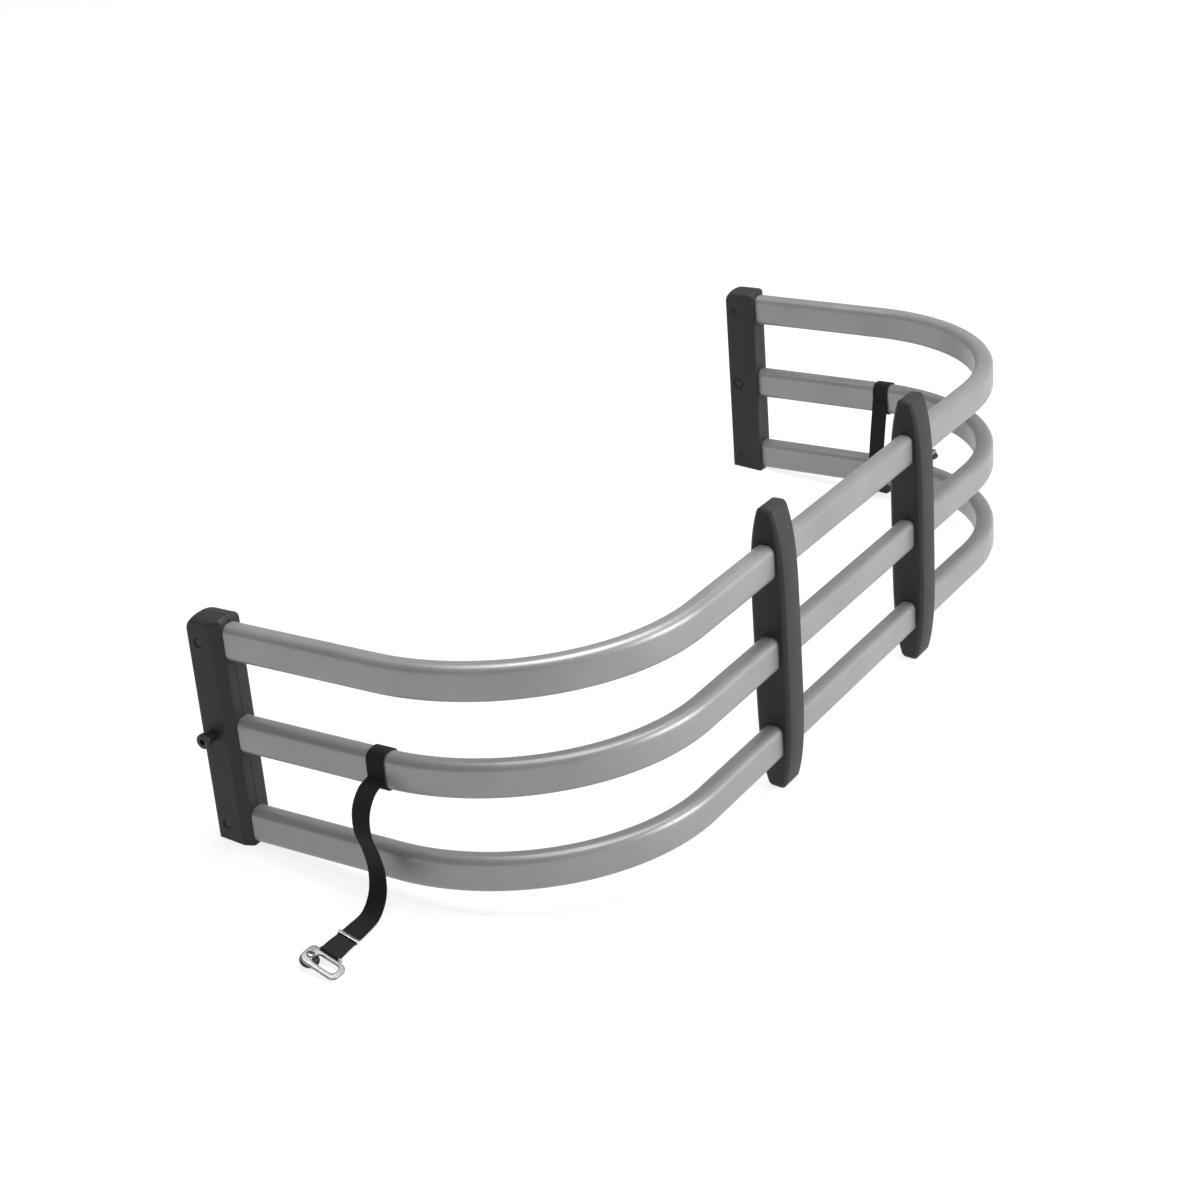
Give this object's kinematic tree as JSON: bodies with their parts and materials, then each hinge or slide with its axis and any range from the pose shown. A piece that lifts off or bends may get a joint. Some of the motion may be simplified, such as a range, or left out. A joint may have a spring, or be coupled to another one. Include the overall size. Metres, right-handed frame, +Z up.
{
  "type": "truck bed extender",
  "caption": "U-shaped cage of stacked flattened tubes that telescope across the width, with moulded uprights, pivot pins and webbing straps with latch plates, for a lowered tailgate.",
  "frame": {"origin": "centre of the cage's footprint on the floor it stands on", "axes": "+X across the vehicle towards the right half, +Y along the arms away from the centre run, +Z up"},
  "size_m": [1.7296, 0.5878, 0.3944],
  "materials": {
    "outer_rail": "satin, silver coated",
    "inner_rail": "satin, silver coated",
    "moulded_plastic": "fine-grained black moulding",
    "black_steel": "black oxide",
    "webbing": "woven black polyester",
    "slider_metal": "bright plated",
    "die_casting": "satin die casting",
    "screw_metal": "plated steel",
    "knob_plastic": "black, smooth"
  },
  "bodies": {
    "centre_section": {"inner_rail_top": "inner_rail", "inner_rail_middle": "inner_rail", "inner_rail_bottom": "inner_rail"},
    "left_half": {"left_rail_top": "outer_rail", "left_rail_middle": "outer_rail", "left_rail_bottom": "outer_rail", "left_centre_upright": "moulded_plastic", "left_clamp_screw_top": "black_steel", "left_clamp_screw_middle": "black_steel", "left_clamp_screw_bottom": "black_steel", "left_end_shell_outer": "moulded_plastic", "left_end_shell_inner": "moulded_plastic", "left_pivot_pin": "black_steel", "left_pivot_nut": "black_steel", "left_end_bolt_top": "black_steel", "left_end_nut_top": "black_steel", "left_end_bolt_bottom": "black_steel", "left_end_nut_bottom": "black_steel"},
    "left_strap": {"left_strap_loop": "webbing", "left_strap": "webbing"},
    "left_slider": {"left_slider": "slider_metal"},
    "left_latch": {"left_latch_plate": "die_casting", "left_knob_screw": "screw_metal"},
    "left_knob": {"left_knob": "knob_plastic"},
    "right_half": {"right_rail_top": "outer_rail", "right_rail_middle": "outer_rail", "right_rail_bottom": "outer_rail", "right_centre_upright": "moulded_plastic", "right_clamp_screw_top": "black_steel", "right_clamp_screw_middle": "black_steel", "right_clamp_screw_bottom": "black_steel", "right_end_shell_outer": "moulded_plastic", "right_end_shell_inner": "moulded_plastic", "right_pivot_pin": "black_steel", "right_pivot_nut": "black_steel", "right_end_bolt_top": "black_steel", "right_end_nut_top": "black_steel", "right_end_bolt_bottom": "black_steel", "right_end_nut_bottom": "black_steel"},
    "right_strap": {"right_strap_loop": "webbing", "right_strap": "webbing"},
    "right_slider": {"right_slider": "slider_metal"},
    "right_latch": {"right_latch_plate": "die_casting", "right_knob_screw": "screw_metal"},
    "right_knob": {"right_knob": "knob_plastic"}
  },
  "joints": [
    {"name": "left_half_slide", "type": "slide", "parent": "centre_section", "child": "left_half", "axis": [-1, 0, 0], "range_m": [-0.025, 0.1]},
    {"name": "left_strap_slide", "type": "slide", "parent": "left_half", "child": "left_strap", "axis": [0, 0.9962, -0.0872], "range_m": [0, 0.05]},
    {"name": "left_slider_slide", "type": "slide", "parent": "left_strap", "child": "left_slider", "axis": [-0.9966, -0.0767, 0.0299], "range_m": [0, 0.007]},
    {"name": "left_latch_swing", "type": "hinge", "parent": "left_strap", "child": "left_latch", "pos_m": [-0.8338, -0.0132, 0.0095], "axis": [0, 0.9668, 0.2554], "range_deg": [0, 100]},
    {"name": "left_knob_turn", "type": "hinge", "parent": "left_latch", "child": "left_knob", "pos_m": [-0.8518, 0.00227, 0.01359], "axis": [0, -0.2554, 0.9668], "continuous": true},
    {"name": "right_half_slide", "type": "slide", "parent": "centre_section", "child": "right_half", "axis": [1, 0, 0], "range_m": [-0.025, 0.1]},
    {"name": "right_strap_slide", "type": "slide", "parent": "right_half", "child": "right_strap", "axis": [0, 0.9962, -0.0872], "range_m": [0, 0.05]},
    {"name": "right_slider_slide", "type": "slide", "parent": "right_strap", "child": "right_slider", "axis": [0.9993, 0.01, 0.035], "range_m": [0, 0.007]},
    {"name": "right_latch_swing", "type": "hinge", "parent": "right_strap", "child": "right_latch", "pos_m": [0.8308, 0.0067, 0.0095], "axis": [0, -0.9668, 0.2554], "range_deg": [0, 100]},
    {"name": "right_knob_turn", "type": "hinge", "parent": "right_latch", "child": "right_knob", "pos_m": [0.8488, -0.00877, 0.01359], "axis": [0, 0.2554, 0.9668], "continuous": true}
  ]
}
